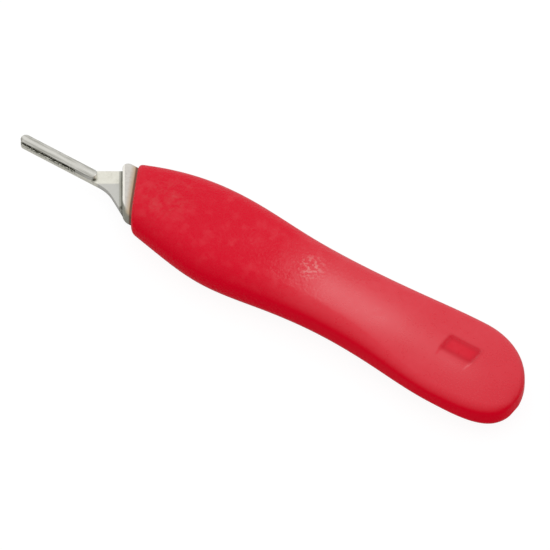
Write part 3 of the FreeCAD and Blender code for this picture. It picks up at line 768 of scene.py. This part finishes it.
def grip_material(handling):
    """Glossy red plastic. The belly and the flank have a fine pebbled skin, which fades out
    at the waist, with pale pinkish blotches over it that are a painted sheen. From the flank
    back the broad faces are polished, but for the panel. The narrow sides are duller, and
    their red is painted deeper as shade. Soft noise makes the red a little paler where hands
    have rubbed it, a pale wispy cloud lies on the chest, and a small patch of pale pebbles on
    the flank is painted glints. The panel's rim is painted darker as shade."""
    material, tree, shader = new_material("grip_red", Metallic=0.0)
    mark = placed_group(tree, handling, Size=0.016).outputs["Mark"]
    source = tree.nodes.new("ShaderNodeTexCoord")
    where = source.outputs["Object"]
    pebbled = maths(tree, "ADD", across(tree, (-1, 0, 0), -PEBBLED_TO[1], -PEBBLED_TO[0]),
                    spread(tree, noise(tree, where, 90.0, 2.0), 0.3, 0.7, -0.25, 0.25))
    pebbled = maths(tree, "MINIMUM", maths(tree, "MAXIMUM", pebbled, 0.0), 1.0)
    tilt = tree.nodes.new("ShaderNodeVectorMath")
    tilt.operation = "DOT_PRODUCT"
    tilt.inputs[1].default_value = (0, 0, 1)
    tree.links.new(source.outputs["Normal"], tilt.inputs[0])
    face = spread(tree, maths(tree, "ABSOLUTE", tilt.outputs["Value"], 0.0), 0.3, 0.98)
    panel = panel_share(tree, 0.0)
    rim_of_panel = maths(tree, "SUBTRACT", panel, panel_share(tree, 1.0))
    pebble = noise(tree, where, PEBBLES_A_METRE, 2.0)
    # Pale pinkish blotches over the pebbled skin, a painted sheen.
    sheen_blotch = spread(tree, noise(tree, where, SHEEN_BLOTCHES_A_METRE, 4.0), 0.5, 0.7, 0.0, 0.6)
    colour = blended(tree, mark, RED, HANDLED_RED)
    colour = blended(tree, maths(tree, "MULTIPLY", sheen_blotch, pebbled), colour, PEBBLE_SHEEN_RED)
    wisps = noise(tree, where, CLOUDS_A_METRE, 5.0, 0.65)
    # A pale wispy cloud on the chest.
    cloud = maths(tree, "MULTIPLY", near_point(tree, *CLOUD_PLACE),
                  spread(tree, wisps, 0.44, 0.68, 0.0, 0.55))
    colour = blended(tree, cloud, colour, CLOUD_RED)
    # A patch of pale pebbles on the flank, painted glints.
    glinting = maths(tree, "MULTIPLY", near_point(tree, *GLINT_PATCH), spread(tree, pebble, 0.5, 0.62))
    colour = blended(tree, glinting, colour, GLINT_RED)
    # The narrow sides painted a deeper red as shade.
    colour = blended(tree, face, SHADED_WALL_RED, colour)
    # The panel's rim painted darker as shade.
    rim_of_panel = maths(tree, "MULTIPLY", rim_of_panel, face)
    colour = blended(tree, rim_of_panel, colour, PANEL_RIM_SHADE_RED)
    tree.links.new(colour, shader.inputs["Base Color"])
    polished = across(tree, (1, 0, 0), *POLISHED_FROM)
    shine = maths(tree, "MULTIPLY", spread(tree, polished, 0.0, 1.0, 0.10, 0.50),
                  maths(tree, "SUBTRACT", 1.0, maths(tree, "MULTIPLY", panel, 0.7)))
    shine = maths(tree, "ADD", maths(tree, "MULTIPLY", face, shine), 0.03)
    tree.links.new(shine, shader.inputs["Specular IOR Level"])
    rough = maths(tree, "ADD", spread(tree, pebble, 0.3, 0.7, 0.26, 0.28),
                  maths(tree, "MULTIPLY", mark, 0.06))
    tree.links.new(rough, shader.inputs["Roughness"])
    relief = maths(tree, "MULTIPLY", pebble, maths(tree, "ADD", pebbled, 0.015))
    bumped(tree, shader, relief, 0.0002, 0.8)
    return material


grip = ringed("grip_moulding", grip_points())
grip.data.materials.append(grip_material(handling))
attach(grip, "root")
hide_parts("grip")


# Floor, light and camera. A plain white table under soft light from above and from the left,
# seen through a long lens from the near side of the tail.

FLOOR_HALF = 3.0
FLOOR_HEIGHT = -0.00001
FLOOR_WHITE = (0.6, 0.6, 0.6, 1)
FLOOR_GLOW, GLOW_TO_CAMERA, GLOW_IN_GLOSS = 1.2, 0.76, 0.2
ROOM_LIGHT = 0.8
LAMP_PLACE, LAMP_AIM = (-0.0097, 0.0544, 0.1106), (0.028, -0.002, 0.012)
LAMP_SIZE, LAMP_POWER = 0.032, 0.011
AZIMUTH, ELEVATION = 34.2, 50.0
LENS, SENSOR = 1000.0, 36.0
VIEW_WIDTH = 0.13608
AIM_RIGHT, AIM_UP = 0.001036, 0.001725


def white_floor_material():
    """White, with part of what the camera sees given by the material itself, so that the
    floor comes out white and the object's shadow stays as a faint grey. It is clear from
    below, so that the object's underside can be looked at."""
    material, tree, shader = new_material("floor", Roughness=0.9, Specular_IOR_Level=0.0)
    shader.inputs["Base Color"].default_value = FLOOR_WHITE
    glow = tree.nodes.new("ShaderNodeEmission")
    glow.inputs["Strength"].default_value = FLOOR_GLOW
    mix = tree.nodes.new("ShaderNodeMixShader")
    path = tree.nodes.new("ShaderNodeLightPath")
    seen = maths(tree, "MAXIMUM",
                 maths(tree, "MULTIPLY", path.outputs["Is Camera Ray"], GLOW_TO_CAMERA),
                 maths(tree, "MULTIPLY", path.outputs["Is Glossy Ray"], GLOW_IN_GLOSS))
    tree.links.new(seen, mix.inputs[0])
    tree.links.new(shader.outputs[0], mix.inputs[1])
    tree.links.new(glow.outputs[0], mix.inputs[2])
    under = tree.nodes.new("ShaderNodeMixShader")
    tree.links.new(tree.nodes.new("ShaderNodeNewGeometry").outputs["Backfacing"], under.inputs[0])
    tree.links.new(mix.outputs[0], under.inputs[1])
    clear = tree.nodes.new("ShaderNodeBsdfTransparent")
    tree.links.new(clear.outputs[0], under.inputs[2])
    output = next(n for n in tree.nodes if n.type == "OUTPUT_MATERIAL")
    tree.links.new(under.outputs[0], output.inputs["Surface"])
    return material


floor_mesh = bpy.data.meshes.new("floor")
floor_mesh.from_pydata([(-FLOOR_HALF, -FLOOR_HALF, FLOOR_HEIGHT),
                        (FLOOR_HALF, -FLOOR_HALF, FLOOR_HEIGHT),
                        (FLOOR_HALF, FLOOR_HALF, FLOOR_HEIGHT),
                        (-FLOOR_HALF, FLOOR_HALF, FLOOR_HEIGHT)],
                       [], [(0, 1, 2, 3)])
floor = bpy.data.objects.new("floor", floor_mesh)
bpy.context.scene.collection.objects.link(floor)
floor.data.materials.append(white_floor_material())


def white_room():
    """A room that is white to the camera and to reflections, and gives less light than that
    to the object."""
    world = bpy.data.worlds.new("room")
    world.use_nodes = True
    tree = world.node_tree
    back = next(n for n in tree.nodes if n.type == "BACKGROUND")
    path = tree.nodes.new("ShaderNodeLightPath")
    back.inputs["Color"].default_value = (1, 1, 1, 1)
    seen = maths(tree, "MAXIMUM", path.outputs["Is Camera Ray"], path.outputs["Is Glossy Ray"])
    tree.links.new(maths(tree, "MAXIMUM", seen, ROOM_LIGHT), back.inputs["Strength"])
    bpy.context.scene.world = world


def soft_light(name, place, aim, size, power):
    """A square area lamp of a size in metres that stands at a place and shines at another."""
    data = bpy.data.lights.new(name, "AREA")
    data.shape = "SQUARE"
    data.size = size
    data.energy = power
    light = bpy.data.objects.new(name, data)
    light.location = place
    light.rotation_euler = (Vector(aim) - Vector(place)).to_track_quat("-Z", "Y").to_euler()
    bpy.context.scene.collection.objects.link(light)


white_room()
soft_light("waist_lamp", LAMP_PLACE, LAMP_AIM, LAMP_SIZE, LAMP_POWER)

azimuth, elevation = math.radians(AZIMUTH), math.radians(ELEVATION)
back = Vector((math.sin(azimuth) * math.cos(elevation), -math.cos(azimuth) * math.cos(elevation),
               math.sin(elevation)))
right = Vector((math.cos(azimuth), math.sin(azimuth), 0))
camera = bpy.data.objects.new("camera", bpy.data.cameras.new("camera"))
camera.data.lens, camera.data.sensor_width = LENS, SENSOR
camera.data.clip_end = 50
camera.location = (right * AIM_RIGHT + back.cross(right) * AIM_UP
                   + back * (VIEW_WIDTH * LENS / SENSOR))
camera.rotation_euler = back.to_track_quat("Z", "Y").to_euler()
bpy.context.scene.collection.objects.link(camera)
bpy.context.scene.camera = camera
bpy.context.scene.view_settings.view_transform = "Standard"
